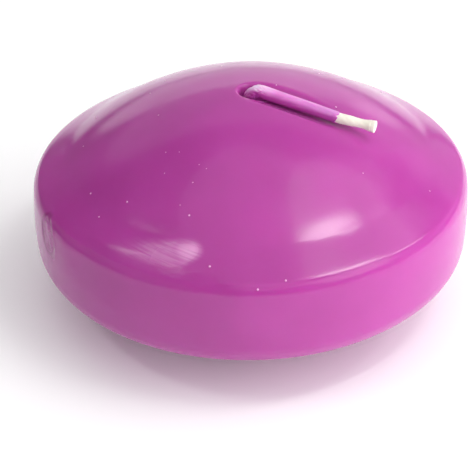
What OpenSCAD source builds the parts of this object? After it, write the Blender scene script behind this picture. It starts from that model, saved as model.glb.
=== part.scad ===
// Floating candle: a lens-shaped wax disc with a domed top, an upright band and a
// rounded underside. The cotton wick folds over at the top and lies on the dome,
// in a shallow trough. Millimetres, base on Z = 0, wick leaning over towards +X.

/* [Wax body] */
// Greatest diameter, halfway up the band
body_d = 75; // [68:1:84]
// Height of the dome above its shoulder
dome_h = 15.2; // [13.5:0.1:17]
// Distance from the axis to where the rounder crown runs into the flank
crown_reach = 12; // [10:0.5:14]
// Slope of the dome there, in degrees
crown_slope = 17.5; // [15:0.5:20]
// Width of the rim between the soft crease at the flank's foot and the band
rim_w = 6.1; // [4:0.1:8]
// Slope of that rim, in degrees
rim_slope = 30; // [26:0.5:33]
// Height of the upright band
band_h = 13.5; // [9:0.1:20]
// How far the band swells beyond its two edges
band_bulge = 0.4; // [0.1:0.1:1.5]
// Depth of the underside, from the band to the base
under_h = 9.8; // [8:0.2:16]
// How far the underside swells beyond a straight cone
under_bulge = 1.8; // [0.5:0.1:2.3]
// Diameter of the flat base
base_d = 28; // [20:1:40]
// Fillet where the rim meets the band
shoulder_r = 3.4; // [1:0.1:5]
// Fillet where the band meets the underside
chine_r = 5.5; // [2:0.5:8]

/* [Trough and pit] */
// Depth of the trough that the wick pressed into the dome
trough_depth = 1.5; // [0.8:0.1:2]
// Radius of the trough's round section
trough_r = 4.8; // [3:0.2:9]
// Distance from the axis to the deepest point of the trough
rest_at = 6.6; // [5:0.2:9]
// How far the pit at the wick's root reaches behind the axis
pit_back = 1.5; // [1.3:0.1:2.5]
// Width of the soft bevel round the pit
pit_bevel = 0.6; // [0.2:0.1:1]

/* [Wick] */
// Diameter of the braided cotton
wick_d = 1.75; // [1.2:0.05:2.4]
// Radius of the fold, at the wick's centre line
fold_r = 2.2; // [1.9:0.1:3]
// Bare cotton beyond the wax coat, up to its cut end
bare_len = 6.4; // [3:0.1:12]
// How far the bare tip bends away from the coated run, in degrees
tip_bend = 5; // [1:0.5:20]
// Roll of that bend: 0 is straight up, 90 is to the side, in degrees
tip_roll = 30; // [-90:5:90]
// Radius of the tip's bend, at the centre line
tip_bend_r = 9; // [4:1:14]
// Diameter of the flared cut end
cut_d = 2.05; // [1.8:0.05:2.8]
// Length of the flare
flare_len = 1.7; // [1:0.1:2.4]
// Distance of the pinched crease from the cut end
crease_at = 0.65; // [0.4:0.05:0.9]
// Depth of that crease
crease_depth = 0.08; // [0.02:0.02:0.16]

/* [Wax coat on the wick] */
// Length of the coated run beyond the fold
coated_len = 13.5; // [8:0.5:18]
// Thickness of the coat at the fold
coat_wall = 0.25; // [0.15:0.05:0.6]
// Thickness of the coat at its end
coat_end_wall = 0.12; // [0.1:0.02:0.4]

/* [Wick tab] */
// Diameter of the pressed metal tab under the base
tab_d = 15; // [10:0.5:18]
// Thickness of its sheet metal
tab_t = 0.3; // [0.2:0.05:0.5]
// Height of the crimped neck, from the underside of the tab
neck_h = 3.2; // [2:0.1:5]
// Bend radius at the root of the neck
neck_root_r = 0.5; // [0.2:0.1:1]
// How far the tab sits up inside the base
tab_recess = 0.25; // [0.1:0.05:1]

/* [Clearances] */
// Gap round the wick, in its bore, its coat and the tab's neck
wick_gap = 0.03; // [0.01:0.01:0.1]
// Gap under the coated wick, to the floor of the trough
lie_gap = 0.1; // [0.05:0.05:0.3]
// Gap round the metal tab, to the wax
tab_gap = 0.1; // [0.05:0.05:0.3]
// How much wider the wick and its coat are where they bend
bend_swell = 0.01; // [0.005:0.005:0.02]

/* [Hidden] */
$fn = 128;
// Overreach of a cut beyond the surface that it opens
eps = 0.01;
// Overlap where a straight stretch runs into a bend
seam = 0.05;
// Overreach of a bore beyond both ends of a bend, in degrees
bend_over = 1;
// Overreach of an arc beyond its tangent point, in degrees
arc_over = 2;
// Hair by which a tighter arc stands proud of the line that it blends into
proud = 0.0005;
wax_colour = [0.72, 0.29, 0.63];
coat_colour = [0.76, 0.36, 0.68];
cotton_colour = [0.95, 0.94, 0.90];
metal_colour = [0.76, 0.77, 0.78];

// Heights, from the base up
chine_z = under_h;
shoulder_z = under_h + band_h;
apex_z = shoulder_z + dome_h;

// Sharp corners of the revolved outline, before the fillets
edge_r = body_d / 2 - band_bulge;
base_edge = [base_d / 2, 0];
chine_corner = [edge_r, chine_z];
shoulder_corner = [edge_r, shoulder_z];

// Band: an arc that swells by band_bulge between its two corners
band_arc_r = chord_radius(band_h, band_bulge);
band_centre = [body_d / 2 - band_arc_r, (chine_z + shoulder_z) / 2];

// Crown: the arc on the axis, up to where it runs tangent into the flank
crown_r = crown_reach / sin(crown_slope);
crown_centre = [0, apex_z - crown_r];
crown_out = [sin(crown_slope), cos(crown_slope)];
crown_end = crown_centre + crown_r * crown_out;

// Rim: straight in section, from the foot of the flank to the shoulder
rim_out = [sin(rim_slope), cos(rim_slope)];
rim_down = [cos(rim_slope), -sin(rim_slope)];
flank_foot = shoulder_corner + [-rim_w, rim_w * tan(rim_slope)];

// Flank: a flatter arc that grows steeper from the crown down to its foot
flank_chord = flank_foot - crown_end;
flank_slope = 2 * atan(-flank_chord.y / flank_chord.x) - crown_slope;
flank_r = flank_chord.x / (sin(flank_slope) - sin(crown_slope));
flank_centre = crown_end - flank_r * crown_out;

// Underside: an arc that swells by under_bulge between the chine and the base
under_chord = base_edge - chine_corner;
under_out = [-under_chord.y, under_chord.x] / norm(under_chord);
under_arc_r = chord_radius(norm(under_chord), under_bulge);
under_centre = (base_edge + chine_corner) / 2 - under_out * (under_arc_r - under_bulge);

// Shoulder fillet, tangent to the rim and to the band
shoulder_start = shoulder_corner - rim_out * shoulder_r;
shoulder_centre = shoulder_start + rim_down
                  * line_to_circle(shoulder_start, rim_down, band_centre, band_arc_r - shoulder_r);
rim_end = shoulder_centre + rim_out * shoulder_r;
band_top = on_circle(band_centre, band_arc_r, shoulder_centre);

// Chine fillet, tangent to the band and to the underside
chine_centre = circles_meet(band_centre, band_arc_r - chine_r, under_centre, under_arc_r - chine_r);
band_foot = on_circle(band_centre, band_arc_r, chine_centre);
under_top = on_circle(under_centre, under_arc_r, chine_centre);

// Wick: its coated run lies parallel to the crown's tangent at rest_at
wick_r = wick_d / 2;
coat_r = wick_r + wick_gap + coat_wall;
coat_end_r = wick_r + wick_gap + coat_end_wall;
lean = asin(rest_at / crown_r);
run_height = crown_r - trough_depth + lie_gap + coat_r;
fold_z = crown_centre.y + (run_height - fold_r * (1 + sin(lean))) / cos(lean);
fold_end_x = fold_r * (1 + sin(lean));

// Pit round the wick's root, from behind the axis to the end of the fold
pit_r = (pit_back + fold_end_x + lie_gap) / 2;
pit_x = pit_r - pit_back;

// Radius of the arc that stands sagitta proud of a chord
function chord_radius(chord, sagitta) = (pow(chord / 2, 2) + pow(sagitta, 2)) / (2 * sagitta);

// Distance along a line from p in direction d to where it leaves a circle
function line_to_circle(p, d, centre, radius) =
    let (b = (p - centre) * d, k = (p - centre) * (p - centre) - radius * radius)
    sqrt(b * b - k) - b;

// Point on a circle in line with its centre and another point
function on_circle(centre, radius, p) = centre + (p - centre) / norm(p - centre) * radius;

// Outer crossing of two circles
function circles_meet(c1, r1, c2, r2) =
    let (d = norm(c2 - c1), u = (c2 - c1) / d, a = (r1 * r1 - r2 * r2 + d * d) / (2 * d),
         h = sqrt(r1 * r1 - a * a), side = [-u.y, u.x] * h, p = c1 + u * a)
    (p + side).x > (p - side).x ? p + side : p - side;

// Point turned about a centre, anticlockwise
function turned(p, centre, angle) =
    let (v = p - centre)
    centre + [v.x * cos(angle) - v.y * sin(angle), v.x * sin(angle) + v.y * cos(angle)];

// Point moved towards another by a distance
function towards(p, target, distance) = p + (target - p) / norm(target - p) * distance;

// Stretch of a disc up to its arc from p to q, from two inner points outwards
module under_arc(centre, radius, p, p_in, q, q_in) {
    intersection() {
        translate(centre) circle(r = radius);
        polygon([p_in, 2 * p - p_in, 2 * q - q_in, q_in]);
    }
}

// Half outline of the candle. Each tighter arc is a hair proud and runs on past its
// tangent point, so that it crosses the flatter line that it blends into.
module body_outline() {
    dome_in = dome_h * 0.8;
    crown_over = turned(crown_end, crown_centre, -arc_over);
    crown_in = towards(crown_over, crown_centre, dome_in);
    crown_end_in = towards(crown_end, flank_centre, dome_in);
    flank_over = turned(flank_foot, flank_centre, -arc_over);
    flank_in = towards(flank_over, flank_centre, dome_in);
    rim_in = flank_foot - rim_down * rim_w / 4;
    base_over = turned(base_edge, under_centre, -arc_over);
    base_in = towards(base_over, under_centre, under_h / 2);
    intersection() {
        square([body_d, apex_z * 2]);
        union() {
            polygon([
                [0, 0], [base_over.x, 0], base_in, chine_centre, shoulder_centre,
                rim_end, rim_in, [0, rim_in.y]
            ]);
            translate(chine_centre) circle(r = chine_r + proud);
            translate(shoulder_centre) circle(r = shoulder_r + proud);
            under_arc(under_centre, under_arc_r, base_over, base_in, under_top, chine_centre);
            under_arc(band_centre, band_arc_r, band_foot, chine_centre, band_top, shoulder_centre);
            under_arc(flank_centre, flank_r, flank_over, flank_in, crown_end, crown_end_in);
            under_arc(crown_centre, crown_r + proud, crown_over, crown_in,
                      [0, apex_z], [0, apex_z - dome_in]);
        }
    }
}

// Places its children at the crown's centre, with X along the coated run of the wick
module along_run() {
    translate([0, 0, crown_centre.y]) rotate([0, lean, 0]) children();
}

// Places its children at the end of the fold, with X along the coated run
module at_fold_end() {
    translate([fold_r, 0, fold_z]) rotate([0, lean, 0]) translate([0, 0, fold_r]) children();
}

// Round-nosed trough that the wick pressed into the dome, cut from the axis outwards
module trough_cut() {
    trough_axis = crown_r - trough_depth + trough_r;
    along_run() translate([-rest_at, 0, trough_axis]) {
        sphere(r = trough_r);
        rotate([0, 90, 0]) cylinder(r = trough_r, h = crown_r);
    }
}

// Pit at the wick's root, with a bevelled mouth
module pit_cut() {
    bevel_z = apex_z - pit_bevel * 2;
    translate([pit_x, 0, fold_z - proud]) cylinder(r = pit_r, h = apex_z - fold_z + eps);
    translate([pit_x, 0, bevel_z]) cylinder(r1 = pit_r, r2 = pit_r + pit_bevel * 2, h = pit_bevel * 2 + eps);
}

// Recess for the metal tab, with room for its neck
module tab_cut() {
    translate([0, 0, -eps]) cylinder(d = tab_d + 2 * tab_gap, h = tab_recess + tab_t + tab_gap + eps);
    cylinder(r = neck_r() + tab_gap, h = tab_recess + neck_h + tab_gap);
    translate([0, 0, tab_recess + tab_t + tab_gap - eps])
        cylinder(r1 = neck_r() + neck_root_r + tab_gap, r2 = neck_r() + tab_gap, h = neck_root_r + eps);
}

// Outer radius of the tab's neck, crimped round the wick
function neck_r() = wick_r + wick_gap + tab_t;

// Solid revolved disc of wax with the trough, the pit, the wick's bore and the tab's recess
module wax_body() {
    color(wax_colour)
    difference() {
        rotate_extrude() body_outline();
        trough_cut();
        pit_cut();
        cylinder(r = wick_r + wick_gap, h = fold_z + eps);
        tab_cut();
    }
}

// Quarter turn and a little more, from upright into the coated run; over lengthens both ends
module fold(section_r, over = 0) {
    translate([fold_r, 0, fold_z]) rotate([90, 0, 0])
        rotate_extrude(start = 90 - lean - over, angle = 90 + lean + 2 * over)
            translate([fold_r, 0]) circle(r = section_r + bend_swell);
}

// Straight stretch along the coated run, from the fold to the end of the coat
module run(start_r, end_r, before = seam, beyond = 0) {
    at_fold_end() translate([-before, 0, 0]) rotate([0, 90, 0])
        cylinder(r1 = start_r, r2 = end_r, h = before + coated_len + beyond);
}

// Places its children at the end of the coated run, with X along the bent tip
module along_tip() {
    at_fold_end() translate([coated_len, 0, 0]) rotate([-tip_roll, 0, 0])
        translate([0, 0, tip_bend_r]) rotate([0, -tip_bend, 0]) translate([0, 0, -tip_bend_r])
            children();
}

// Short bend between the coated run and the tip
module tip_turn() {
    at_fold_end() translate([coated_len, 0, 0]) rotate([-tip_roll, 0, 0])
        translate([0, 0, tip_bend_r]) rotate([90, 0, 0])
            rotate_extrude(start = 270, angle = tip_bend)
                translate([tip_bend_r, 0]) circle(r = wick_r + bend_swell);
}

// Bare tip that flares towards its cut end, with a pinched crease just before it
module tip_end() {
    cut_r = cut_d / 2;
    tip_len = bare_len - tip_bend_r * tip_bend * PI / 180;
    crease_x = tip_len - crease_at;
    crease_half = 0.12;
    along_tip() rotate([0, 90, 0]) rotate_extrude()
        polygon([
            [0, -seam], [wick_r, -seam], [wick_r, tip_len - flare_len],
            [cut_r, crease_x - crease_half], [cut_r - crease_depth, crease_x],
            [cut_r, crease_x + crease_half], [cut_r, tip_len], [0, tip_len]
        ]);
}

// Cotton wick in one piece, from the metal tab to its cut end
module wick() {
    color(cotton_colour)
    union() {
        translate([0, 0, tab_recess]) cylinder(r = wick_r, h = fold_z - tab_recess + seam);
        fold(wick_r);
        run(wick_r, wick_r, beyond = seam);
        tip_turn();
        tip_end();
    }
}

// Sleeve of dip wax on the fold and the lying run, thinner towards its end
module wick_coating() {
    bore_r = wick_r + wick_gap;
    color(coat_colour)
    difference() {
        union() {
            fold(coat_r);
            run(coat_r, coat_end_r);
        }
        fold(bore_r, bend_over);
        run(bore_r, bore_r, beyond = seam);
    }
}

// Pressed metal tab that holds the wick's foot: a thin disc with a drawn neck
module wick_tab() {
    bore_r = wick_r + wick_gap;
    color(metal_colour)
    translate([0, 0, tab_recess]) rotate_extrude() {
        translate([bore_r, 0]) square([tab_d / 2 - bore_r, tab_t]);
        translate([bore_r, 0]) square([tab_t, neck_h]);
        translate([neck_r(), tab_t]) difference() {
            square(neck_root_r);
            translate([neck_root_r, neck_root_r]) circle(r = neck_root_r);
        }
    }
}

wax_body();
wick();
wick_coating();
wick_tab();
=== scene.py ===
"""Looks of a floating candle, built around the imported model.

Lengths of the candle are in millimetres and become metres when a mesh is made; the lamps and
the floor are in metres. Angles are in degrees where nothing else is said, and a radius is
measured from the candle's axis. The base stands on Z = 0 and the wick leans over towards +X,
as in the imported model.
"""

import math

import bpy
import numpy as np
from mathutils import Matrix, Vector

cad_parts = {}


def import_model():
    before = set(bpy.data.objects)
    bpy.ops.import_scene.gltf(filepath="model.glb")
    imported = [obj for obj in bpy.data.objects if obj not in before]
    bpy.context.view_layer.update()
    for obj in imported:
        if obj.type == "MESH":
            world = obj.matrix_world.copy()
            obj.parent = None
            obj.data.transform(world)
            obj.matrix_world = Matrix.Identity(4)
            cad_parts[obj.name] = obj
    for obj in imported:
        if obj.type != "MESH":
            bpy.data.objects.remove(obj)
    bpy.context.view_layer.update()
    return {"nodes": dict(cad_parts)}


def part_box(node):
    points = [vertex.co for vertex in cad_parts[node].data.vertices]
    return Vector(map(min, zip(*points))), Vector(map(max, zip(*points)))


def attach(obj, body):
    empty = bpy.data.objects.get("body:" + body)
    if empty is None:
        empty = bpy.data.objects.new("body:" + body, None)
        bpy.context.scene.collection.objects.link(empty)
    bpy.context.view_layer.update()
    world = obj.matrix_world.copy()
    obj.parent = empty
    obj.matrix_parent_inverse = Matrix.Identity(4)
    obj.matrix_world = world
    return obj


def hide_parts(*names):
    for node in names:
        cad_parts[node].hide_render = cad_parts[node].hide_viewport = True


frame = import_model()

MM = 0.001

# Camera, fitted to the outline of the candle in the photograph; pan, tilt and roll in radians
PHOTO_SIZE = 470
FOCAL_PIXELS = 1743.6
SENSOR_WIDTH = 36.0
CAMERA_AZIMUTH = 22.6
CAMERA_ELEVATION = 30.62
CAMERA_REACH = 300.0
CAMERA_PAN = -0.00927
CAMERA_TILT = -0.03772
CAMERA_ROLL = -0.01593
AIM_HEIGHT = 23.0
CLIP_START = 10.0

# Revolved outline of the wax disc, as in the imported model
BODY_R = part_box("wax_body")[1].x / MM
DOME_H = 15.2
CROWN_REACH = 12.0
CROWN_SLOPE = 17.5
RIM_W = 6.1
RIM_SLOPE = 30.0
BAND_H = 13.5
BAND_BULGE = 0.4
UNDER_H = 9.8
UNDER_BULGE = 1.8
BASE_R = 14.0
SHOULDER_R = 3.4
CHINE_R = 5.5
CREASE_SOFT = 1.3
CREASE_ANGLE = 0.8
SHOULDER_SOFT = 1.5
SHOULDER_EASE = 15.0
EDGE_R = BODY_R - BAND_BULGE
APEX_Z = UNDER_H + BAND_H + DOME_H

# Distance between the rings of the wax mesh, on each stretch of the outline
UNDER_STEP = 0.9
CHINE_STEP = 0.45
BAND_STEP = 0.42
SHOULDER_STEP = 0.22
BEND_STEP = 0.15
RIM_STEP = 0.3
FLANK_STEP = 0.36
CROWN_STEP = 0.4

# Shares of the band's height above which the outline and the mesh count as the dome
OUTLINE_DOME = 0.9
MESH_DOME = 0.98

# Trough, pit and bores
TROUGH_DEPTH = 1.5
TROUGH_R = 4.8
REST_AT = 6.6
TROUGH_START = 1.1
LIP_SOFT = 0.30
LIP_RISE = 0.05
LIP_WIDTH = 0.45
LIP_FADE_FROM = -3.0
LIP_FADE_TO = -0.8
PIT_BACK = 1.5
PIT_BEVEL = 0.8
PIT_BEVEL_RINGS = 14
PIT_BEVEL_INWARD = 1.7
PIT_BEVEL_DOWN = 2.1
PIT_BEVEL_DEPTH = 0.78
PIT_WALL_RINGS = 5
PIT_FILLET = 0.35
PIT_FILLET_TOP = 0.1
PIT_FILLET_DEPTH = 0.94
PIT_ROUGH = 0.07
PIT_ROUGH_LENGTH = 1.9
TAB_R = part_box("wick_tab")[1].x / MM
TAB_RECESS = 0.25
TAB_T = 0.3
TAB_GAP = 0.1
NECK_H = 3.2
NECK_ROOT_R = 0.5

# Wick and its coat of dip wax
WICK_R = 0.875
WICK_GAP = 0.03
FOLD_R = 2.2
COATED_LEN = 13.5
COAT_WALL = 0.25
COAT_END_WALL = 0.12
LIE_GAP = 0.1
BARE_LEN = 6.4
TIP_BEND = 5.0
TIP_ROLL = 30.0
TIP_BEND_R = 9.0
CUT_R = 1.025
FLARE_LEN = 1.7
FLARE_FULL = 0.45
CREASE_AT = 0.65
CREASE_DEPTH = 0.06
CREASE_WIDTH = 0.09
WAIST_AT = 2.6
WAIST_DEPTH = 0.11
WAIST_WIDTH = 1.2
CUT_ROUGH = 0.06
CUT_ROUGH_LEN = 1.2

# Rings over the wick's cut face: share of its radius, and share of its roughness
CUT_RINGS = [(0.95, 0.6), (0.86, 0.9), (0.6, 0.7), (0.3, 1.0), (0.05, 0.4)]

# Round scar on the band, on the photograph's left
SCAR_AZIMUTH = -131.6
SCAR_Z = 20.3
SCAR_LONG = 3.7
SCAR_SHORT = 2.7
SCAR_TILT = 33.0
SCAR_WOBBLE = 0.07
SCAR_RIM = 0.07
SCAR_RIM_WIDTH = 0.13
SCAR_GROOVE = 0.05
SCAR_GROOVE_AT = 0.8
SCAR_GROOVE_WIDTH = 0.1
SCAR_CRUMPLE = 0.05
SCAR_SINK = 0.03
SCAR_LINE_AT = 0.9
SCAR_LINE_EDGE = 0.16
SCAR_LINE_FULL = 0.03
SCAR_LINE_DEPTH = 0.06
SCAR_DARKNESS = 0.55

# Rubbed patch with fine streaks across the rim, on the photograph's left; it is whitened partly
# as real scuffing and partly as a painted highlight, most in its core
RUB_LEFT = -110.0
RUB_CORE = -84.5
RUB_CORE_R = 31.8
RUB_RIGHT = -80.2
RUB_RIGHT_SOFT = 4.0
RUB_INNER_R = 29.5
RUB_INNER_SOFT = 2.0
RUB_OUTER_R = 35.1
RUB_OUTER_SOFT = 0.7
RUB_LEAN_PER_RADIAN = 5.7
RUB_ROUND = 1.4
# The core below is where the painted highlight on the patch is brightest
CORE_PER_MM = 0.7
CORE_PER_RADIAN = 14.0
CORE_END = 1.8
RUB_TILT = 0.27
RUB_DEPTH = 0.03
RUB_ROUGHNESS = 0.34
RUB_WHITENING_AND_HIGHLIGHT = 0.4
DRIFT_PER_RADIAN = 5.0
STREAKS_PER_M = 3600.0
STREAKS_PER_RADIAN = 5.0
STREAK_FLATNESS = 0.3

# Slightly sunk stretch of the shoulder, outside the rubbed patch
SLIP_DEPTH = 0.45
SLIP_LEFT = -124.0
SLIP_RIGHT = -69.0
SLIP_SOFT = 10.0
SLIP_END_SOFT = 9.0
SLIP_TOP_R = 33.6
SLIP_FOOT_R = 36.8
SLIP_LOW = 0.35
SLIP_HIGH = 0.85


# Plane geometry of the outline


def chord_radius(chord, sagitta):
    """Radius of the arc that stands sagitta proud of a chord."""
    return ((chord / 2) ** 2 + sagitta**2) / (2 * sagitta)


def unit(v):
    return v / np.linalg.norm(v)


def line_to_circle(p, direction, centre, radius):
    """Distance along a line from p to where it leaves a circle."""
    b = (p - centre) @ direction
    return math.sqrt(b * b - (p - centre) @ (p - centre) + radius * radius) - b


def outer_crossing(c1, r1, c2, r2):
    """Where two circles cross, on the side further from the axis."""
    d = np.linalg.norm(c2 - c1)
    u = (c2 - c1) / d
    a = (r1 * r1 - r2 * r2 + d * d) / (2 * d)
    side = math.sqrt(r1 * r1 - a * a) * np.array([-u[1], u[0]])
    return max(c1 + u * a + side, c1 + u * a - side, key=lambda p: p[0])


def angle_at(centre, p):
    return math.degrees(math.atan2(p[1] - centre[1], p[0] - centre[0]))


def arc(centre, radius, start, end, step):
    """Points on an arc from one angle to another, in degrees, about step apart."""
    count = max(2, math.ceil(radius * math.radians(abs(end - start)) / step) + 1)
    a = np.radians(np.linspace(start, end, count))
    return np.stack([centre[0] + radius * np.cos(a), centre[1] + radius * np.sin(a)], 1)


def line(p, q, step):
    """Points on a straight line, about step apart."""
    count = max(2, math.ceil(np.linalg.norm(np.subtract(q, p)) / step) + 1)
    return np.linspace(p, q, count)


def smooth(x, low, high):
    """Soft step from 0 at low to 1 at high, in either order."""
    t = np.clip((x - low) / (high - low), 0, 1)
    return t * t * (3 - 2 * t)


def bend(p, along_p, q, along_q, step):
    """Points on a soft bend between two points, from the directions at them."""
    reach = np.linalg.solve(np.stack([along_p, -along_q], 1), q - p)[0]
    corner = p + along_p * reach
    count = max(3, math.ceil(np.linalg.norm(q - p) / step) + 1)
    t = np.linspace(0, 1, count)[:, None]
    return p * (1 - t) ** 2 + corner * 2 * t * (1 - t) + q * t**2


def slope_vectors(slope):
    """Directions out of and down a surface in the half plane, from its slope in degrees."""
    c, s = math.cos(math.radians(slope)), math.sin(math.radians(slope))
    return np.array([s, c]), np.array([c, -s])


# Crown's arc on the axis, the coated run's height over it, and the pit that the fold needs
CROWN_R = CROWN_REACH / math.sin(math.radians(CROWN_SLOPE))
CROWN_Z = APEX_Z - CROWN_R
LEAN = math.asin(REST_AT / CROWN_R)
COAT_R = WICK_R + WICK_GAP + COAT_WALL
COAT_END_R = WICK_R + WICK_GAP + COAT_END_WALL
RUN_HEIGHT = CROWN_R - TROUGH_DEPTH + LIE_GAP + COAT_R
FOLD_Z = CROWN_Z + (RUN_HEIGHT - FOLD_R * (1 + math.sin(LEAN))) / math.cos(LEAN)
PIT_R = (PIT_BACK + FOLD_R * (1 + math.sin(LEAN)) + LIE_GAP) / 2
PIT_X = PIT_R - PIT_BACK


def outer_outline():
    """Underside, chine, band, shoulder and dome, from the base up to the axis."""
    band_r = chord_radius(BAND_H, BAND_BULGE)
    band_c = np.array([BODY_R - band_r, UNDER_H + BAND_H / 2])
    base_edge = np.array([BASE_R, 0.0])
    chine_corner = np.array([EDGE_R, UNDER_H])
    chord = base_edge - chine_corner
    outwards = unit(np.array([-chord[1], chord[0]]))
    under_r = chord_radius(np.linalg.norm(chord), UNDER_BULGE)
    under_c = (base_edge + chine_corner) / 2 - outwards * (under_r - UNDER_BULGE)
    chine_c = outer_crossing(band_c, band_r - CHINE_R, under_c, under_r - CHINE_R)

    crown_out, _ = slope_vectors(CROWN_SLOPE)
    crown_c = np.array([0.0, CROWN_Z])
    crown_end = crown_c + crown_out * CROWN_R
    rim_out, rim_down = slope_vectors(RIM_SLOPE)
    flank_foot = np.array([EDGE_R - RIM_W, UNDER_H + BAND_H])
    flank_foot[1] += RIM_W * math.tan(math.radians(RIM_SLOPE))
    run, drop = flank_foot[0] - crown_end[0], crown_end[1] - flank_foot[1]
    flank_slope = 2 * math.degrees(math.atan2(drop, run)) - CROWN_SLOPE
    flank_r = run / (math.sin(math.radians(flank_slope)) - crown_out[0])
    flank_c = crown_end - crown_out * flank_r
    start = np.array([EDGE_R, UNDER_H + BAND_H]) - rim_out * SHOULDER_R
    reach = line_to_circle(start, rim_down, band_c, band_r - SHOULDER_R)
    shoulder_c = start + rim_down * reach
    shoulder_top = shoulder_c + rim_out * SHOULDER_R - rim_down * SHOULDER_SOFT
    ease_out, ease_down = slope_vectors(RIM_SLOPE + SHOULDER_EASE)
    ease = shoulder_c + ease_out * SHOULDER_R
    crease_foot = flank_foot + rim_down * CREASE_SOFT
    crease_out, crease_down = slope_vectors(flank_slope - CREASE_ANGLE)
    crease_top = flank_c + crease_out * flank_r

    under_end = angle_at(under_c, chine_c)
    band_start = angle_at(band_c, chine_c)
    band_end = angle_at(band_c, shoulder_c)
    stretches = [
        arc(under_c, under_r, angle_at(under_c, base_edge), under_end, UNDER_STEP),
        arc(chine_c, CHINE_R, under_end, band_start, CHINE_STEP),
        arc(band_c, band_r, band_start, band_end, BAND_STEP),
        arc(shoulder_c, SHOULDER_R, band_end, 90 - RIM_SLOPE - SHOULDER_EASE, SHOULDER_STEP),
        bend(ease, -ease_down, shoulder_top, -rim_down, BEND_STEP),
        line(shoulder_top, crease_foot, RIM_STEP),
        bend(crease_foot, -rim_down, crease_top, -crease_down, BEND_STEP),
        arc(flank_c, flank_r, 90 - flank_slope + CREASE_ANGLE, 90 - CROWN_SLOPE, FLANK_STEP),
        arc(crown_c, CROWN_R, 90 - CROWN_SLOPE, 90, CROWN_STEP),
    ]
    return np.vstack([stretches[0]] + [s[1:] for s in stretches[1:]])


OUTLINE = outer_outline()
IS_DOME = OUTLINE[:, 1] > UNDER_H + BAND_H * OUTLINE_DOME
DOME = OUTLINE[IS_DOME][::-1]


def dome_z(r):
    """Height of the dome at a radius, without the trough and the pit."""
    return np.interp(r, DOME[:, 0], DOME[:, 1])


# Meshes


def mesh_piece(name, points, faces, material):
    """An object made of points in mm, which rides on the candle's one body."""
    mesh = bpy.data.meshes.new(name)
    mesh.from_pydata((np.asarray(points) * MM).tolist(), [], faces)
    mesh.update()
    mesh.shade_smooth()
    mesh.materials.append(material)
    piece = bpy.data.objects.new(name, mesh)
    bpy.context.scene.collection.objects.link(piece)
    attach(piece, "root")
    return piece


def ring_faces(rings, around, first=0, closed=False):
    """Quads between rings of points; the last ring joins the first one if closed."""
    i = np.arange(rings if closed else rings - 1)[:, None]
    j = np.arange(around)[None, :]
    here, there = i * around, (i + 1) % rings * around
    following = (j + 1) % around
    quads = np.stack([here + j, here + following, there + following, there + j], -1)
    return (quads.reshape(-1, 4) + first).tolist()


WAVE_COUNT = 14
WAVE_PEAK = 1.6


def waves(points, length, seed):
    """Soft noise, mostly from -1 to 1: a sum of sine waves in random directions."""
    draw = np.random.default_rng(seed)
    total = np.zeros(points.shape[:-1])
    for _ in range(WAVE_COUNT):
        direction = unit(draw.normal(size=3))
        phase = draw.uniform(0, 2 * math.pi)
        stretch = draw.uniform(0.6, 1.6)
        total += np.sin(points @ direction * 2 * math.pi / (length * stretch) + phase)
    return total / math.sqrt(WAVE_COUNT / 2) / WAVE_PEAK


# Wax body

AROUND = 400
FINE_STEPS = 7200
SCAR_DENSITY = 2.6
SCAR_SPREAD = 9.0
DIP_WAVE = 0.035
DIP_WAVE_LENGTH = 21.0
DIP_WAVE_FROM_Z = 2.0
DIP_WAVE_FULL_Z = 8.0
PLAIN_DOME_R = 9.0


def body_angles():
    """Angles of the wax mesh's spokes, closer together at the scar."""
    fine = np.linspace(-math.pi, math.pi, FINE_STEPS + 1)
    off = np.degrees(fine) - SCAR_AZIMUTH
    off = (off + 180) % 360 - 180
    density = 1 + SCAR_DENSITY * np.exp(-((off / SCAR_SPREAD) ** 2))
    total = np.concatenate([[0], np.cumsum((density[1:] + density[:-1]) / 2)])
    return np.interp(np.arange(AROUND) / AROUND * total[-1], total, fine)


def lean_axes():
    """Columns along the coated run, to its side and out of the dome."""
    c, s = math.cos(LEAN), math.sin(LEAN)
    return np.array([[c, 0, s], [0, 1, 0], [-s, 0, c]])


def pressed(points):
    """Moves dome points out of the trough that the wick pressed into the wax."""
    axes = lean_axes()
    local = (points - [0, 0, CROWN_Z]) @ axes
    along, side, out = local[..., 0], local[..., 1], local[..., 2]
    axis_height = CROWN_R - TROUGH_DEPTH + TROUGH_R
    behind = np.maximum(0, TROUGH_START - REST_AT - along)
    away = np.stack([-behind, side, out - axis_height], -1)
    distance = np.linalg.norm(away, axis=-1)
    depth = TROUGH_R - distance
    push = (depth + np.sqrt(depth**2 + LIP_SOFT**2)) / 2
    push *= smooth(depth, LIP_FADE_FROM, LIP_FADE_TO)
    push -= LIP_RISE * np.exp(-(((depth + LIP_WIDTH) / LIP_WIDTH) ** 2))
    return points + (away / distance[..., None] * push[..., None]) @ axes.T


def scar_offset(points):
    """Relief of the round scar: a low rim round a slightly sunk, crumpled middle."""
    azimuth = np.degrees(np.arctan2(points[..., 1], points[..., 0]))
    across = np.radians(azimuth - SCAR_AZIMUTH) * BODY_R
    up = points[..., 2] - SCAR_Z
    t = math.radians(SCAR_TILT)
    long = (up * math.cos(t) - across * math.sin(t)) / SCAR_LONG
    short = (up * math.sin(t) + across * math.cos(t)) / SCAR_SHORT
    reach = np.hypot(long, short) * (1 + SCAR_WOBBLE * waves(points, 3.5, seed=5))
    rim = SCAR_RIM * np.exp(-(((reach - 1) / SCAR_RIM_WIDTH) ** 2))
    groove = -SCAR_GROOVE * np.exp(-(((reach - SCAR_GROOVE_AT) / SCAR_GROOVE_WIDTH) ** 2))
    middle = SCAR_CRUMPLE * waves(points, 1.5, seed=6) - SCAR_SINK
    middle *= smooth(reach, 0.95, 0.6)
    return rim + groove + middle


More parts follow.
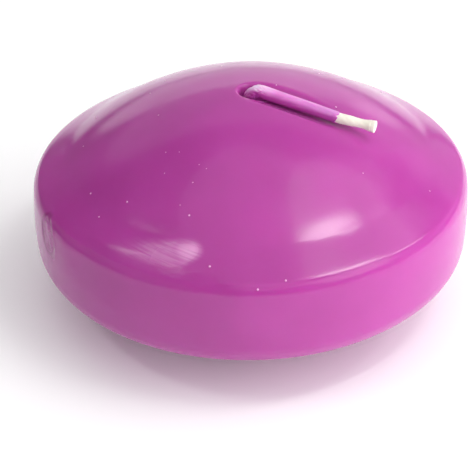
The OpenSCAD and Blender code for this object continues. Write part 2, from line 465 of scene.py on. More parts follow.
def shoulder_slip(points, radius, height):
    """How far the shoulder is sunk outside the rubbed patch."""
    azimuth = np.degrees(np.arctan2(points[..., 1], points[..., 0]))
    along = smooth(azimuth, SLIP_LEFT, SLIP_LEFT + SLIP_SOFT)
    along *= smooth(azimuth, SLIP_RIGHT, SLIP_RIGHT - SLIP_END_SOFT)
    down = smooth(height, UNDER_H + BAND_H * SLIP_LOW, UNDER_H + BAND_H * SLIP_HIGH)
    return SLIP_DEPTH * along * (smooth(radius, SLIP_TOP_R, SLIP_FOOT_R) * down)[:, None]


def pit_rings(angles):
    """Rings from the pit's soft lip down its wall and over its floor to the bore."""
    lip_r = PIT_R + PIT_BEVEL
    t = np.linspace(0, 1, PIT_BEVEL_RINGS + 1)[1:]
    bevel_r = lip_r - PIT_BEVEL * (1 - (1 - t) ** PIT_BEVEL_INWARD)
    bevel_drop = t**PIT_BEVEL_DOWN * PIT_BEVEL_DEPTH
    wall_end = 1 - PIT_FILLET / (APEX_Z - FOLD_Z)
    wall_drop = np.linspace(bevel_drop[-1], wall_end, PIT_WALL_RINGS + 1)[1:]
    insets = np.array([PIT_FILLET_TOP, PIT_FILLET, 2 * PIT_FILLET])
    floor_r = np.concatenate([PIT_R - insets, [WICK_R + WICK_GAP]])
    radii = np.concatenate([bevel_r, np.full(len(wall_drop), PIT_R), floor_r])
    drops = np.concatenate([bevel_drop, wall_drop, [PIT_FILLET_DEPTH, 1.0, 1.0, 1.0]])
    centres = np.full(len(radii), PIT_X)
    centres[-1] = 0
    centres[-2] = PIT_X / 2
    unit_circle = np.stack([np.cos(angles), np.sin(angles)], -1)
    rings = np.zeros((len(radii), len(angles), 3))
    rings[..., :2] = unit_circle[None] * radii[:, None, None]
    rings[..., 0] += centres[:, None]
    lip = unit_circle * lip_r + [PIT_X, 0]
    lip = np.concatenate([lip, dome_z(np.hypot(lip[:, 0], lip[:, 1]))[:, None]], 1)
    top = pressed(lip)[:, 2]
    rings[..., 2] = top - (top - FOLD_Z) * drops[:, None]
    rough = PIT_ROUGH * waves(rings, PIT_ROUGH_LENGTH, seed=11)
    rough *= (smooth(drops, 0.05, 0.4) * smooth(drops, 1.01, 0.9))[:, None]
    rings[..., :2] += unit_circle[None] * rough[..., None]
    return rings


def wax_body(material):
    """The wax disc; within PLAIN_DOME_R of the axis its rings move over to the pit."""
    angles = body_angles()
    circle = np.stack([np.cos(angles), np.sin(angles)], -1)
    lip_r = PIT_R + PIT_BEVEL

    outer = OUTLINE[OUTLINE[:, 0] > lip_r + 0.1]
    tangent = np.gradient(outer, axis=0)
    normal = np.stack([tangent[:, 1], -tangent[:, 0]], 1)
    normal /= np.linalg.norm(normal, axis=1)[:, None]
    radius = np.concatenate([outer[:, 0], [lip_r]])
    height = np.concatenate([outer[:, 1], [dome_z(lip_r)]])
    normal = np.vstack([normal, [0, 1]])
    is_dome = height > UNDER_H + BAND_H * MESH_DOME
    shift = PIT_X * smooth(radius, PLAIN_DOME_R, lip_r) * is_dome

    rings = np.zeros((len(radius), AROUND, 3))
    rings[..., :2] = circle[None] * radius[:, None, None]
    rings[..., 0] += shift[:, None]
    flat_r = np.hypot(rings[..., 0], rings[..., 1])
    rings[..., 2] = np.where(is_dome[:, None], dome_z(flat_r), height[:, None])

    free = smooth(height, DIP_WAVE_FROM_Z, DIP_WAVE_FULL_Z)[:, None]
    free = free * smooth(radius, lip_r, PLAIN_DOME_R)[:, None]
    bump = DIP_WAVE * (waves(rings, DIP_WAVE_LENGTH, seed=3) - 1) * free
    bump += scar_offset(rings) * (height > UNDER_H)[:, None]
    bump -= shoulder_slip(rings, radius, height)
    rings[..., :2] += circle[None] * (bump * normal[:, :1])[..., None]
    rings[..., 2] += bump * normal[:, 1:]
    rings[is_dome] = pressed(rings[is_dome])

    every = np.concatenate([hidden_rings(circle), rings, pit_rings(angles)])
    faces = ring_faces(len(every), AROUND, closed=True)
    return mesh_piece("wax_disc", every.reshape(-1, 3), faces, material)


def hidden_rings(circle):
    """Rings down the wick's bore, over the tab's recess and across the flat base."""
    bore = WICK_R + WICK_GAP
    neck = bore + TAB_T + TAB_GAP
    ceiling = TAB_RECESS + TAB_T + TAB_GAP
    recess = TAB_R + TAB_GAP
    soft = 0.15
    inset = 2
    base_edge = BASE_R - 0.4
    outline = np.array([
        [bore, FOLD_Z * 0.66],
        [bore, FOLD_Z * 0.33],
        [bore, TAB_RECESS + NECK_H + TAB_GAP],
        [neck, TAB_RECESS + NECK_H + TAB_GAP],
        [neck, ceiling + NECK_ROOT_R],
        [neck + NECK_ROOT_R, ceiling],
        [recess - soft, ceiling],
        [recess, ceiling - soft],
        [recess, soft],
        [recess + soft, 0],
        [recess + inset, 0],
        [BASE_R - inset, 0],
        [base_edge, 0],
    ])
    rings = np.zeros((len(outline), AROUND, 3))
    rings[..., :2] = circle[None] * outline[:, 0][:, None, None]
    rings[..., 2] = outline[:, 1][:, None]
    return rings


# Wick

FOLD_ANGLE = math.pi / 2 + LEAN
FOLD_LEN = FOLD_R * FOLD_ANGLE
COAT_END = FOLD_LEN + COATED_LEN
WICK_END = COAT_END + BARE_LEN
BRAID_STRANDS = 4
BRAID_PITCH = 1.5
BRAID_DEPTH = 0.07
BRAID_ROUND = 0.6


def turned(v, axis, angle):
    """Vectors turned about an axis."""
    c, s = math.cos(angle), math.sin(angle)
    return v * c + np.cross(axis, v) * s + axis * (axis @ v) * (1 - c)


def wick_line(s):
    """Centre, direction, upward and sideward vectors at a length s from the fold's start.

    Negative lengths run down the bore. Sideward is towards the photograph's viewer.
    """
    side = np.array([0, -1.0, 0])
    if s <= 0:
        return np.array([0, 0, FOLD_Z + s]), np.array([0, 0, 1.0]), np.array([-1.0, 0, 0]), side
    a = min(s / FOLD_R, FOLD_ANGLE)
    ahead = np.array([math.sin(a), 0, math.cos(a)])
    up = np.array([-math.cos(a), 0, math.sin(a)])
    centre = np.array([FOLD_R, 0, FOLD_Z]) + up * FOLD_R
    if s <= FOLD_LEN:
        return centre, ahead, up, side
    straight = min(s - FOLD_LEN, COATED_LEN)
    centre = centre + ahead * straight
    rest = s - FOLD_LEN - straight
    if rest <= 0:
        return centre, ahead, up, side
    roll = math.radians(TIP_ROLL)
    inward = up * math.cos(roll) - side * math.sin(roll)
    bend = min(rest / TIP_BEND_R, math.radians(TIP_BEND))
    axis = np.cross(ahead, inward)
    centre = centre + ahead * TIP_BEND_R * math.sin(bend)
    centre = centre + inward * TIP_BEND_R * (1 - math.cos(bend))
    ahead, up, side = (turned(v, axis, bend) for v in (ahead, up, side))
    centre = centre + ahead * (rest - TIP_BEND_R * bend)
    return centre, ahead, up, side


def sweep(lengths, angles, radius):
    """Rings of points round the wick's line; radius has a row for each length."""
    rings = []
    for s, row in zip(lengths, radius):
        centre, _, up, side = wick_line(s)
        spoke = np.cos(angles)[:, None] * up + np.sin(angles)[:, None] * side
        rings.append(centre + spoke * row[:, None])
    return np.array(rings)


def braid(s, angle):
    """Relief of the braid, from 0 in its grooves to 1 on its strands."""
    turn = angle / (2 * math.pi) * BRAID_STRANDS
    a, b = turn + s / BRAID_PITCH, turn - s / BRAID_PITCH
    over = 0.5 + 0.5 * np.sin(np.pi * (a + b)) * np.sin(np.pi * (a - b))
    rope_a = np.abs(np.sin(np.pi * a)) ** BRAID_ROUND
    rope_b = np.abs(np.sin(np.pi * b)) ** BRAID_ROUND
    return rope_a * over + rope_b * (1 - over)


def flare(s):
    """Radius of the bare tip beyond the plain wick: a waist, then a flare to the cut end."""
    from_end = WICK_END - s
    crease = CREASE_DEPTH * np.exp(-(((from_end - CREASE_AT) / CREASE_WIDTH) ** 2))
    waist = WAIST_DEPTH * np.exp(-(((from_end - WAIST_AT) / WAIST_WIDTH) ** 2))
    return (CUT_R - WICK_R) * smooth(from_end, FLARE_LEN, FLARE_FULL) - crease - waist


def wick(material):
    """The braided cotton, from its foot in the tab to the rough face of its cut end."""
    around = 112
    angles = np.linspace(0, 2 * math.pi, around, endpoint=False)
    foot = TAB_RECESS - FOLD_Z
    bare_from = COAT_END - 1.0
    covered = np.linspace(foot, bare_from, 150)
    bare = np.linspace(bare_from, WICK_END, 120)[1:]
    lengths = np.concatenate([covered, bare])
    s, a = lengths[:, None], angles[None, :]
    radius = WICK_R + flare(s) - BRAID_DEPTH * (1 - braid(s, a))
    out_of_round = 0.03 * np.sin(3 * a + 1.0) + 0.02 * np.sin(7 * a)
    radius = radius * (1 + out_of_round * smooth(s, WICK_END - CUT_ROUGH_LEN, WICK_END))
    rings = list(sweep(lengths, angles, radius))
    centre, ahead, _, _ = wick_line(WICK_END)
    last = rings[-1]
    for share, lift in CUT_RINGS:
        lumps = 0.5 + 0.5 * np.sin(5 * angles + 9 * share) * math.sin(7 * share)
        cap = centre + (last - centre) * share
        rings.append(cap + ahead * (CUT_ROUGH * lift * lumps)[:, None])
    rings = np.array(rings)
    faces = ring_faces(len(rings), around)
    faces.append(list(range(around))[::-1])
    top = (len(rings) - 1) * around
    faces.append(list(range(top, top + around)))
    return mesh_piece("cotton_wick", rings.reshape(-1, 3), faces, material)


COAT_SLACK = 0.02
COAT_CRUMPLED_LEN = 1.4
COAT_LUMP = 0.055
COAT_FOLD = 0.05
COAT_STRAND = 0.008
COAT_WAVE = 0.015
COAT_FEATHER = 0.25
COAT_LIP = 0.04

# Notches in the coat's ragged end: depth in mm, then angle and width in radians
COAT_NOTCHES = [(0.22, 0.75, 0.20), (0.26, 2.05, 0.26)]


def coat_radius(s, angle):
    """Outer radius of the coat: a taper with fine strands, lumpy and creased at the fold."""
    run = np.clip((s - FOLD_LEN) / COATED_LEN, 0, 1)
    radius = COAT_R - COAT_SLACK + (COAT_END_R - COAT_R) * run
    place = np.stack(np.broadcast_arrays(s, np.cos(angle) * 1.2, np.sin(angle) * 1.2), -1)
    crumple = smooth(s, FOLD_LEN + COAT_CRUMPLED_LEN, FOLD_LEN - COAT_CRUMPLED_LEN)
    folds = np.exp(-((waves(place * [0.5, 1.3, 1.3], 1.7, seed=21) / 0.2) ** 2))
    lumps = waves(place, 1.5, seed=24) + 0.7 * waves(place, 0.7, seed=25)
    radius = radius + crumple * (COAT_LUMP * lumps - COAT_FOLD * folds)
    strands = np.sin(angle * 9 + 0.35 * s + waves(place, 6, seed=23) * 2)
    radius = radius + COAT_STRAND * strands * (1 - crumple)
    radius = radius + COAT_WAVE * waves(place, 4.5, seed=22)
    return np.minimum(radius, COAT_R)


def coat_edge(angle):
    """How far the coat reaches, round its ragged end."""
    edge = COAT_END + 0.08 * np.sin(2 * angle + 0.6) + 0.04 * np.sin(7 * angle)
    for depth, at, width in COAT_NOTCHES:
        edge = edge - depth * np.exp(-(((angle - at) / width) ** 2))
    return edge


def wick_coating(material):
    """The sleeve of dip wax, with finer rings on the crumpled fold than on the straight run."""
    around = 144
    angles = np.linspace(0, 2 * math.pi, around, endpoint=False)
    fold_share = 0.26
    fold = np.linspace(0, fold_share, 70, endpoint=False)
    steps = np.concatenate([fold, np.linspace(fold_share, 1, 90)])
    edge = coat_edge(angles)[None, :]
    lengths = steps[:, None] * edge
    bore = WICK_R + WICK_GAP / 2
    outer = coat_radius(lengths, angles[None, :])
    thin = smooth(lengths, edge - COAT_FEATHER, edge)
    outer = outer + (bore + COAT_LIP - outer) * thin * 0.8
    inner = np.full_like(outer, bore)
    rings = [sweep_uneven(lengths[i], angles, outer[i]) for i in range(len(steps))]
    rings += [sweep_uneven(lengths[i], angles, inner[i]) for i in range(len(steps) - 1, -1, -8)]
    rings = np.array(rings)
    faces = ring_faces(len(rings), around, closed=True)
    return mesh_piece("dip_wax_sleeve", rings.reshape(-1, 3), faces, material)


def sweep_uneven(lengths, angles, radius):
    """One ring round the wick's line whose points lie at different lengths."""
    points = []
    for s, a, r in zip(lengths, angles, radius):
        centre, _, up, side = wick_line(s)
        points.append(centre + (up * math.cos(a) + side * math.sin(a)) * r)
    return points


# Pale specks of dip wax

SPECK_R = 0.15
SPECK_H = 0.07
SPECK_SINK = 0.03
SPECK_SEED = 31

# Random specks on the back, and a few faint ones in front
BACK_COUNT = 16
BACK_AZIMUTHS = (60, 230)
BACK_RADII = (14, 35)
BACK_SIZES = (0.6, 1.0)
FAINT_COUNT = 6
FAINT_AZIMUTHS = (-115, -80)
FAINT_RADII = (12, 28)
FAINT_SIZE = 0.8

# Heights of a bead's rings, as angles from its middle
SPECK_RISES = (-75, -40, 0, 30, 55, 78)

# Specks seen in the photograph: azimuth, radius in mm and size. The places were worked out
# beforehand from the photograph with the fitted camera, and rounded.
SEEN_SPECKS = [
    (-128, 30.0, 1.0),
    (-112.5, 28.0, 1.0),
    (-118, 31.7, 0.9),
    (-88.5, 27.0, 1.2),
    (-92, 22.0, 1.0),
    (16, 14.6, 1.2),
    (45, 5.0, 1.0),
    (-78.5, 33.8, 1.2),
    (-59, 35.9, 1.2),
    (-66, 36.7, 1.1),
    (-18.5, 24.2, 0.8),
    (-1.5, 32.3, 0.9),
]


def speck_spots():
    """Azimuth, radius and size of each speck: those seen, then a few at random."""
    spots = list(SEEN_SPECKS)
    draw = np.random.default_rng(SPECK_SEED)
    for _ in range(BACK_COUNT):
        azimuth, radius = draw.uniform(*BACK_AZIMUTHS), draw.uniform(*BACK_RADII)
        spots.append((azimuth, radius, draw.uniform(*BACK_SIZES)))
    for _ in range(FAINT_COUNT):
        spots.append((draw.uniform(*FAINT_AZIMUTHS), draw.uniform(*FAINT_RADII), FAINT_SIZE))
    return spots


def dip_specks(material):
    """Small flat beads, half sunk in the dome."""
    around, rings = 10, len(SPECK_RISES)
    angles = np.linspace(0, 2 * math.pi, around, endpoint=False)
    span = 0.2
    points, faces = [], []
    for azimuth, radius, size in speck_spots():
        slope = math.atan2(dome_z(radius - span) - dome_z(radius + span), 2 * span)
        a = math.radians(azimuth)
        ahead = np.array([math.cos(a), math.sin(a), 0])
        side = np.array([-math.sin(a), math.cos(a), 0])
        up = ahead * math.sin(slope) + np.array([0, 0, math.cos(slope)])
        down = ahead * math.cos(slope) - np.array([0, 0, math.sin(slope)])
        centre = ahead * radius + [0, 0, dome_z(radius) - SPECK_SINK]
        first = len(points)
        for rise in SPECK_RISES:
            ring = SPECK_R * size * math.cos(math.radians(rise))
            lift = up * SPECK_H * size * math.sin(math.radians(rise))
            for b in angles:
                points.append(centre + lift + (side * math.cos(b) + down * math.sin(b)) * ring)
        faces += ring_faces(rings, around, first)
        faces.append(list(range(first, first + around))[::-1])
        top = first + (rings - 1) * around
        faces.append(list(range(top, top + around)))
    return mesh_piece("dip_specks", points, faces, material)


# Materials


class Nodes:
    """Short calls for building one material's node tree."""

    def __init__(self, name):
        self.material = bpy.data.materials.new(name)
        self.material.use_nodes = True
        self.tree = self.material.node_tree
        self.shader = self.tree.nodes["Principled BSDF"]
        self.place = self.add("ShaderNodeTexCoord").outputs["Object"]

    def add(self, kind, inputs=None, **settings):
        """A new node, with its settings made and its inputs filled."""
        node = self.tree.nodes.new(kind)
        for key, value in settings.items():
            setattr(node, key, value)
        for key, value in (inputs or {}).items():
            self.put(node.inputs[key], value)
        return node

    def put(self, socket, value):
        """Fills an input with another node's output or with a plain value."""
        if isinstance(value, bpy.types.NodeSocket):
            self.tree.links.new(value, socket)
        else:
            socket.default_value = value

    def noise(self, scale, detail=3.0, roughness=0.5, place=None):
        """Noise from 0 to 1, with about scale features in a metre."""
        inputs = {
            "Vector": place or self.place,
            "Scale": scale,
            "Detail": detail,
            "Roughness": roughness,
        }
        return self.add("ShaderNodeTexNoise", inputs).outputs["Fac"]

    def math(self, operation, *values):
        node = self.add("ShaderNodeMath", operation=operation)
        for socket, value in zip(node.inputs, values):
            self.put(socket, value)
        return node.outputs[0]

    def remap(self, value, low, high, to_low, to_high):
        """Value taken in proportion from one range to another, and held inside it."""
        inputs = {
            "Value": value,
            "From Min": low,
            "From Max": high,
            "To Min": to_low,
            "To Max": to_high,
        }
        return self.add("ShaderNodeMapRange", inputs).outputs["Result"]

    def fade(self, value, low, high):
        """Soft step from 0 at low to 1 at high, in either order."""
        inputs = {"Value": value, "From Min": low, "From Max": high}
        node = self.add("ShaderNodeMapRange", inputs, interpolation_type="SMOOTHSTEP")
        return node.outputs["Result"]

    def mix(self, share, first, second):
        """Colour between first and second; a Mix node's colours are its sockets 6, 7 and 2."""
        node = self.add("ShaderNodeMix", data_type="RGBA")
        self.put(node.inputs["Factor"], share)
        self.put(node.inputs[6], first)
        self.put(node.inputs[7], second)
        return node.outputs[2]

    def bump(self, height, depth, strength=1.0, below=None):
        """Normal of a relief that is depth metres deep, on top of the relief below."""
        inputs = {"Height": height, "Distance": depth, "Strength": strength}
        if below is not None:
            inputs["Normal"] = below
        return self.add("ShaderNodeBump", inputs).outputs["Normal"]

    def set(self, **sockets):
        """Fills the shader's inputs, whose names have underscores for spaces here."""
        for name, value in sockets.items():
            self.put(self.shader.inputs[name.replace("_", " ")], value)


# Colours, in linear light
WAX_MAGENTA = (0.401, 0.055, 0.303, 1)
WAX_DEEP = (0.366, 0.0483, 0.273, 1)
WAX_DARK = (0.21, 0.036, 0.155, 1)
# Pale tone of scuffed wax, also used to paint a highlight on the rubbed patch
WAX_RUBBED_AND_HIGHLIGHT = (0.72, 0.38, 0.62, 1)
SPECK_PALE = (0.78, 0.42, 0.70, 1)
SPECK_PINK = (0.68, 0.28, 0.58, 1)
# Coat colours: a pale lit top and a deep shaded underside, painted light and shade
COAT_LIT_AND_THIN = (0.66, 0.24, 0.56, 1)
COAT_SHADED_UNDERSIDE = (0.44, 0.060, 0.34, 1)
# Colour of the painted highlight on the coat's top near the root
COAT_HIGHLIGHT = (0.84, 0.58, 0.78, 1)
COTTON_LIGHT = (0.80, 0.77, 0.70, 1)
COTTON_SHADE = (0.70, 0.66, 0.56, 1)
TAB_LIGHT = (0.62, 0.62, 0.62, 1)
TAB_SHADE = (0.50, 0.50, 0.49, 1)
FLOOR_WHITE = (0.95, 0.95, 0.95, 1)

# Gloss of the wax, from its smoothest to its dullest spots
WAX_IOR = 1.44
WAX_GLOSSY = 0.13
WAX_DULL = 0.18

# The coat's streaks run along the wick, and a highlight is painted pale on its top near the root
COAT_STRETCH = (0.12, 1.0, 1.0)
COAT_HIGHLIGHT_FULL = 1.5
COAT_HIGHLIGHT_TO = 5.5

# How far light goes in red, green and blue, and the reach in mm that these are shares of
WAX_SCATTER = (1.0, 0.35, 0.75)
COTTON_SCATTER = (1.0, 0.9, 0.8)
WAX_REACH = 1.8
COAT_REACH = 0.6
COTTON_REACH = 0.4

# Depth of each material's fine relief
WAX_GRAIN = 0.01
COAT_GRAIN = 0.03
SPECK_GRAIN = 0.01
COTTON_GRAIN = 0.04
TAB_GRAIN = 0.02


def rubbed(n, radius, azimuth):
    """Shares of the rubbed patch on the rim and of its core, where the whitening is a painted
    highlight.
    """
    left, core = math.radians(RUB_LEFT), math.radians(RUB_CORE)
    right, soft = math.radians(RUB_RIGHT), math.radians(RUB_RIGHT_SOFT)
    off_out = n.math("MULTIPLY", n.math("SUBTRACT", radius, RUB_CORE_R * MM), CORE_PER_MM / MM)
    off_out = n.math("MULTIPLY", off_out, off_out)
    end = n.math("ADD", azimuth, n.math("MULTIPLY", off_out, math.radians(RUB_ROUND)))
    along = n.fade(azimuth, left, core)
    along = n.math("MULTIPLY", along, n.fade(end, right, right - soft))
    lean = n.math("MULTIPLY", n.math("SUBTRACT", azimuth, core), RUB_LEAN_PER_RADIAN * MM)
    inner_end = (RUB_INNER_R + RUB_INNER_SOFT) * MM
    inner = n.fade(n.math("ADD", radius, lean), RUB_INNER_R * MM, inner_end)
    outer = n.fade(radius, RUB_OUTER_R * MM, (RUB_OUTER_R - RUB_OUTER_SOFT) * MM)
    patch = n.math("MULTIPLY", along, n.math("MULTIPLY", inner, outer))
    off_round = n.math("MULTIPLY", n.math("SUBTRACT", azimuth, core), CORE_PER_RADIAN)
    off = n.math("ADD", n.math("MULTIPLY", off_round, off_round), off_out)
    return patch, n.math("MULTIPLY", patch, n.fade(off, CORE_END, 0.0))


def scar_lines(n, azimuth, height):
    """Dark wriggling lines of the scar: an oval outline with marks inside it."""
    t = math.radians(SCAR_TILT)
    across = n.math("SUBTRACT", azimuth, math.radians(SCAR_AZIMUTH))
    across = n.math("MULTIPLY", across, BODY_R)
    up = n.math("SUBTRACT", n.math("MULTIPLY", height, 1 / MM), SCAR_Z)
    long = n.math("SUBTRACT", n.math("MULTIPLY", up, math.cos(t) / SCAR_LONG),
                  n.math("MULTIPLY", across, math.sin(t) / SCAR_LONG))
    short = n.math("ADD", n.math("MULTIPLY", up, math.sin(t) / SCAR_SHORT),
                   n.math("MULTIPLY", across, math.cos(t) / SCAR_SHORT))
    reach = n.math("SQRT", n.math("ADD", n.math("MULTIPLY", long, long),
                                  n.math("MULTIPLY", short, short)))
    wriggle = n.math("MULTIPLY", n.math("SUBTRACT", n.noise(420.0, 2.0), 0.5), 0.6)
    reach = n.math("ADD", reach, wriggle)
    line = n.math("ABSOLUTE", n.math("SUBTRACT", reach, SCAR_LINE_AT))
    ring = n.remap(line, SCAR_LINE_EDGE, SCAR_LINE_FULL, 0.0, 1.0)
    vein = n.math("ABSOLUTE", n.math("SUBTRACT", n.noise(520.0, 2.0), 0.5))
    vein = n.remap(vein, 0.035, 0.01, 0.0, 0.8)
    vein = n.math("MULTIPLY", vein, n.remap(reach, 0.85, 0.7, 0.0, 1.0))
    return n.math("MAXIMUM", ring, vein)


def wax_material():
    """Glossy dyed wax: softly mottled, streaked where rubbed and whitened there as scuffing and
    as a painted highlight, dark lines in the scar.
    """
    n = Nodes("wax")
    parts = n.add("ShaderNodeSeparateXYZ", {"Vector": n.place}).outputs
    square = n.math("ADD", n.math("MULTIPLY", parts["X"], parts["X"]),
                    n.math("MULTIPLY", parts["Y"], parts["Y"]))
    radius = n.math("SQRT", square)
    azimuth = n.math("ARCTAN2", parts["Y"], parts["X"])
    height = parts["Z"]

    drift = n.math("SUBTRACT", radius, n.math("MULTIPLY", azimuth, DRIFT_PER_RADIAN * MM))
    streak_place = n.add("ShaderNodeCombineXYZ", {
        "X": n.math("MULTIPLY", drift, STREAKS_PER_M),
        "Y": n.math("MULTIPLY", azimuth, STREAKS_PER_RADIAN),
        "Z": n.math("MULTIPLY", n.math("ADD", radius, height), STREAKS_PER_M * STREAK_FLATNESS),
    }).outputs["Vector"]
    streaks = n.noise(1.0, 3.0, 0.6, streak_place)
    patch, core = rubbed(n, radius, azimuth)
    scratched = n.math("MULTIPLY", patch, n.remap(streaks, 0.34, 0.56, 0.35, 1.0))
    # Whitening of the rubbed patch: real scuffing along the streaks, plus a painted highlight in
    # the core
    pale = n.math("MULTIPLY", n.math("ADD", scratched, core), RUB_WHITENING_AND_HIGHLIGHT)
    roughness = n.remap(n.noise(260.0, 3.0), 0.3, 0.7, WAX_GLOSSY, WAX_DULL)
    roughness = n.remap(patch, 0.0, 1.0, roughness, RUB_ROUGHNESS)

    mottle = n.remap(n.noise(70.0, 4.0), 0.35, 0.65, 0.0, 1.0)
    lines = scar_lines(n, azimuth, height)
    colour = n.mix(mottle, WAX_MAGENTA, WAX_DEEP)
    colour = n.mix(pale, colour, WAX_RUBBED_AND_HIGHLIGHT)
    colour = n.mix(n.math("MULTIPLY", lines, SCAR_DARKNESS), colour, WAX_DARK)
    relief = n.bump(n.noise(2200.0, 2.0), WAX_GRAIN * MM)
    relief = n.bump(n.math("MULTIPLY", radius, -1.0), RUB_TILT, scratched, relief)
    relief = n.bump(streaks, RUB_DEPTH * MM, patch, relief)
    relief = n.bump(n.math("SUBTRACT", 1.0, lines), SCAR_LINE_DEPTH * MM, 1.0, relief)
    n.set(
        Base_Color=colour,
        Roughness=roughness,
        Subsurface_Weight=1.0,
        Subsurface_Radius=WAX_SCATTER,
        Subsurface_Scale=WAX_REACH * MM,
        IOR=WAX_IOR,
        Normal=relief,
    )
    return n.material


def coat_material():
    """Thin dip wax, with painted light and shade: pale on top where it is lit and thin, deep on
    the underside as painted shade, and a painted highlight on top near the root.
    """
    n = Nodes("dip_wax")
    normal = n.tree.nodes["Texture Coordinate"].outputs["Normal"]
    upward = n.add("ShaderNodeSeparateXYZ", {"Vector": normal}).outputs["Z"]
    along = n.add("ShaderNodeSeparateXYZ", {"Vector": n.place}).outputs["X"]
    stretched = n.add("ShaderNodeVectorMath", {0: n.place, 1: COAT_STRETCH},
                      operation="MULTIPLY").outputs["Vector"]
    streak = n.noise(1500.0, 3.0, 0.5, stretched)
    blotch = n.noise(420.0, 2.0)
    # thin rises with the upward normal: painted light on top and painted shade underneath, broken
    # by streaks and blotches
    thin = n.math("ADD", upward, n.math("MULTIPLY", n.math("SUBTRACT", streak, 0.5), 0.5))
    thin = n.math("ADD", thin, n.math("MULTIPLY", n.math("SUBTRACT", blotch, 0.5), 0.5))
    colour = n.mix(n.remap(thin, 0.1, 1.0, 0.0, 1.0), COAT_SHADED_UNDERSIDE, COAT_LIT_AND_THIN)
    # Painted highlight: the top of the coat near the root is whitened
    painted_highlight = n.math("MULTIPLY", n.remap(along, COAT_HIGHLIGHT_TO * MM, COAT_HIGHLIGHT_FULL * MM, 0.0, 0.85),
                  n.remap(thin, 0.45, 0.95, 0.0, 1.0))
    n.set(
        Base_Color=n.mix(painted_highlight, colour, COAT_HIGHLIGHT),
        Roughness=0.26,
        Subsurface_Weight=1.0,
        Subsurface_Radius=WAX_SCATTER,
        Subsurface_Scale=COAT_REACH * MM,
        IOR=WAX_IOR,
        Normal=n.bump(streak, COAT_GRAIN * MM),
    )
    return n.material


def speck_material():
    n = Nodes("wax_specks")
    n.set(
        Base_Color=n.mix(n.noise(900.0), SPECK_PALE, SPECK_PINK),
        Roughness=0.4,
        IOR=WAX_IOR,
        Normal=n.bump(n.noise(6000.0), SPECK_GRAIN * MM),
    )
    return n.material


def cotton_material():
    n = Nodes("cotton")
    n.set(
        Base_Color=n.mix(n.noise(700.0), COTTON_LIGHT, COTTON_SHADE),
        Roughness=0.75,
        Subsurface_Weight=0.6,
        Subsurface_Radius=COTTON_SCATTER,
        Subsurface_Scale=COTTON_REACH * MM,
        Normal=n.bump(n.noise(5000.0), COTTON_GRAIN * MM),
    )
    return n.material


def metal_material():
    n = Nodes("tab_metal")
    scratch = n.noise(1600.0, 4.0)
    n.set(
        Base_Color=n.mix(scratch, TAB_LIGHT, TAB_SHADE),
        Metallic=1.0,
        Roughness=n.remap(scratch, 0.3, 0.7, 0.25, 0.42),
        Normal=n.bump(scratch, TAB_GRAIN * MM),
    )
    return n.material


def floor_material():
    n = Nodes("floor")
    n.set(Base_Color=FLOOR_WHITE, Roughness=0.6)
    return n.material


# Camera, floor and lights


def turned_pair(first, second, angle):
    """Two vectors at right angles, with the first turned towards the second."""
    c, s = math.cos(angle), math.sin(angle)
    return first * c + second * s, second * c - first * s


def place_camera():
    """The photograph's camera: it looks at the candle's middle, then pans, tilts and rolls."""
    azimuth = math.radians(CAMERA_AZIMUTH)
    e = math.radians(CAMERA_ELEVATION)
    offset = Vector((0, -math.cos(e), math.sin(e))) * CAMERA_REACH
    forward = -offset.normalized()
    right = Vector((1, 0, 0))
    up = right.cross(forward)
    forward, right = turned_pair(forward, right, CAMERA_PAN)
    forward, up = turned_pair(forward, up, CAMERA_TILT)
    right, up = turned_pair(right, up, CAMERA_ROLL)
    axes = Matrix((right, up, -forward)).transposed().to_4x4()
    data = bpy.data.cameras.new("camera")
    data.sensor_width = SENSOR_WIDTH
    data.lens = FOCAL_PIXELS / PHOTO_SIZE * SENSOR_WIDTH
    data.clip_start = CLIP_START * MM
    camera = bpy.data.objects.new("camera", data)
    bpy.context.scene.collection.objects.link(camera)
    turn = Matrix.Rotation(azimuth, 4, "Z")
    stand = Matrix.Translation(offset * MM)
    lift = Matrix.Translation((0, 0, AIM_HEIGHT * MM))
    camera.matrix_world = lift @ turn @ stand @ axes
    bpy.context.scene.camera = camera


LAMP_REACH = 0.6
FLOOR_HALF = 1.5
WORLD_FILL = 0.46


def softbox(name, turn, rise, width, height, power, roll=0.0, shows=True, lights=True):
    """A soft oval lamp that faces the candle, LAMP_REACH metres away.

    turn goes from the camera's side to its right and rise goes up from the floor. Width and
    height are in metres, and power is in watts. roll turns the lamp in its own plane. The
    candle mirrors a lamp that shows, and a lamp that lights also lights it diffusely.
    """
    data = bpy.data.lights.new(name, "AREA")
    data.shape = "ELLIPSE"
    data.size = width
    data.size_y = height
    data.energy = power
    lamp = bpy.data.objects.new(name, data)
    lamp.visible_glossy = shows
    lamp.visible_diffuse = lights
    bpy.context.scene.collection.objects.link(lamp)
    a, e = math.radians(CAMERA_AZIMUTH + turn), math.radians(rise)
    away = Vector((math.sin(a) * math.cos(e), -math.cos(a) * math.cos(e), math.sin(e)))
    lamp.location = away * LAMP_REACH + Vector((0, 0, AIM_HEIGHT * MM))
    lamp.rotation_mode = "QUATERNION"
    spin = Matrix.Rotation(math.radians(roll), 4, "Z").to_quaternion()
    lamp.rotation_quaternion = away.to_track_quat("Z", "Y") @ spin


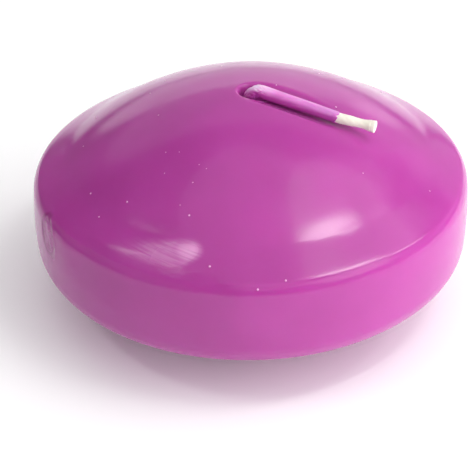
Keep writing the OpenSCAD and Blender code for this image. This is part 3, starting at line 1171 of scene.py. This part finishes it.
def floor():
    mesh = bpy.data.meshes.new("floor")
    signs = [(-1, -1), (1, -1), (1, 1), (-1, 1)]
    corners = [(x * FLOOR_HALF, y * FLOOR_HALF, 0) for x, y in signs]
    mesh.from_pydata(corners, [], [(0, 1, 2, 3)])
    mesh.materials.append(floor_material())
    plane = bpy.data.objects.new("floor", mesh)
    bpy.context.scene.collection.objects.link(plane)


def world():
    """An even white fill from all sides, which lights the candle but isn't mirrored in it."""
    scene = bpy.context.scene
    scene.world = bpy.data.worlds.new("studio")
    scene.world.use_nodes = True
    background = scene.world.node_tree.nodes["Background"]
    background.inputs["Color"].default_value = (1, 1, 1, 1)
    background.inputs["Strength"].default_value = WORLD_FILL
    scene.world.cycles_visibility.glossy = False
    scene.view_settings.view_transform = "Standard"


# The scene

place_camera()

wax = wax_material()
disc = wax_body(wax)
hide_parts("wax_body")

cotton = wick(cotton_material())
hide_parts("wick")

sleeve = wick_coating(coat_material())
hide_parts("wick_coating")

specks = dip_specks(speck_material())

tab = frame["nodes"]["wick_tab"]
tab.data.materials.clear()
tab.data.materials.append(metal_material())

floor()
world()

# The lamps' powers were fitted beforehand to the photograph's brightness, and rounded
softbox("key_strip", 76, 61, 0.28, 0.03, 0.46, roll=-38)
softbox("key_lower", 98, 40, 0.22, 0.05, 0.22, roll=-40)
softbox("glow_high", 121, 42, 0.14, 0.12, 0.03)
softbox("key_soft", 88, 56, 0.50, 0.44, 0.83)
softbox("left_strip", -74, 52, 0.34, 0.05, 0.34, roll=27)
softbox("low_front_right", 45, 9, 0.50, 0.20, 2.45, shows=False)
softbox("low_right", 85, 9, 0.40, 0.20, 1.00, shows=False)
softbox("right_mid", 55, 34, 0.44, 0.30, 0.72)
softbox("front_line", 5, 44, 0.50, 0.42, 0.38, lights=False)
softbox("horizon_left", -72, 20, 1.10, 0.34, 0.36, lights=False)
softbox("horizon_right", 72, 18, 1.10, 0.30, 0.32, lights=False)
softbox("top_soft", 0, 84, 0.60, 0.60, 0.52)
softbox("back_mid", 180, 38, 1.00, 0.42, 0.50)
softbox("low_back", 180, 12, 0.70, 0.26, 0.41)
softbox("low_back_left", -135, 12, 0.50, 0.26, 0.05)
softbox("low_back_right", 135, 12, 0.50, 0.26, 0.16)
